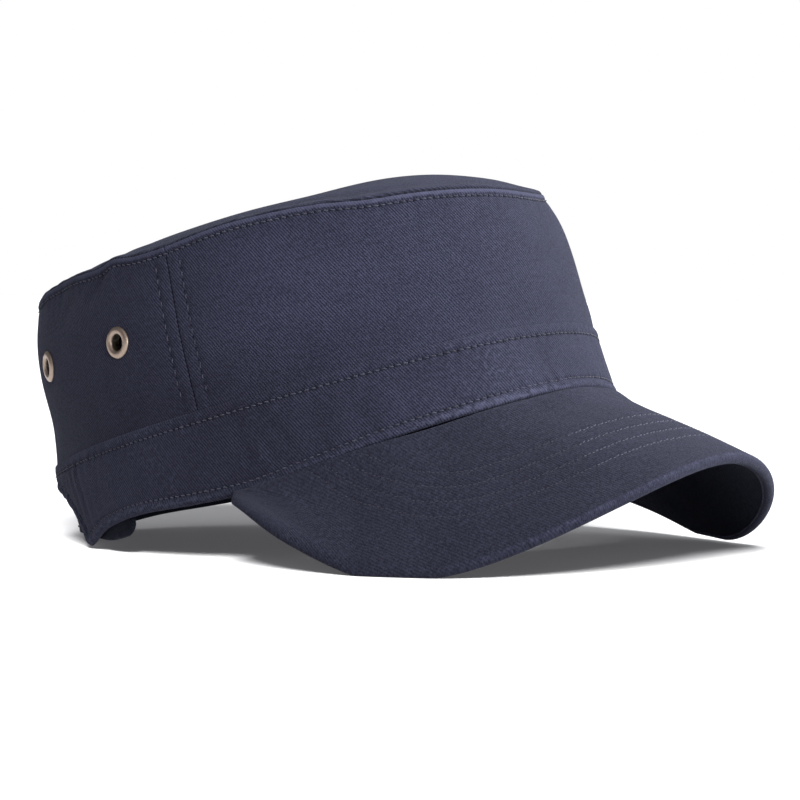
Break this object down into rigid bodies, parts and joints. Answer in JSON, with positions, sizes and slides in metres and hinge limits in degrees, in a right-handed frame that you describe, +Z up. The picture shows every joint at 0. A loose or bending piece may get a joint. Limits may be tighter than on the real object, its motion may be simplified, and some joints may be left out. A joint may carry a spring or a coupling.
{
  "type": "cap",
  "caption": "Flat-top cloth cap with an upright crown, an overlapping headband, a deep curved peak, brass vent eyelets and a back strap, resting as it lies on a surface.",
  "frame": {"origin": "on the surface the cap rests on, below the middle of its bounding box", "axes": "+Z up, -Y the way the peak points, -X towards the wearer's right"},
  "size_m": [0.1893, 0.266, 0.124],
  "materials": {
    "twill": "matte navy cotton twill",
    "shaded_twill": "matte dark navy cotton twill",
    "brass": "aged satin brass"
  },
  "bodies": {
    "root": {"top_panel": "twill", "front_panel": "twill", "back_panel": "twill", "headband": "twill", "peak": "twill", "peak_underside": "shaded_twill", "strap": "shaded_twill", "eyelet_right_front": "brass", "eyelet_right_rear": "brass", "eyelet_left_front": "brass", "eyelet_left_rear": "brass"}
  },
  "joints": []
}
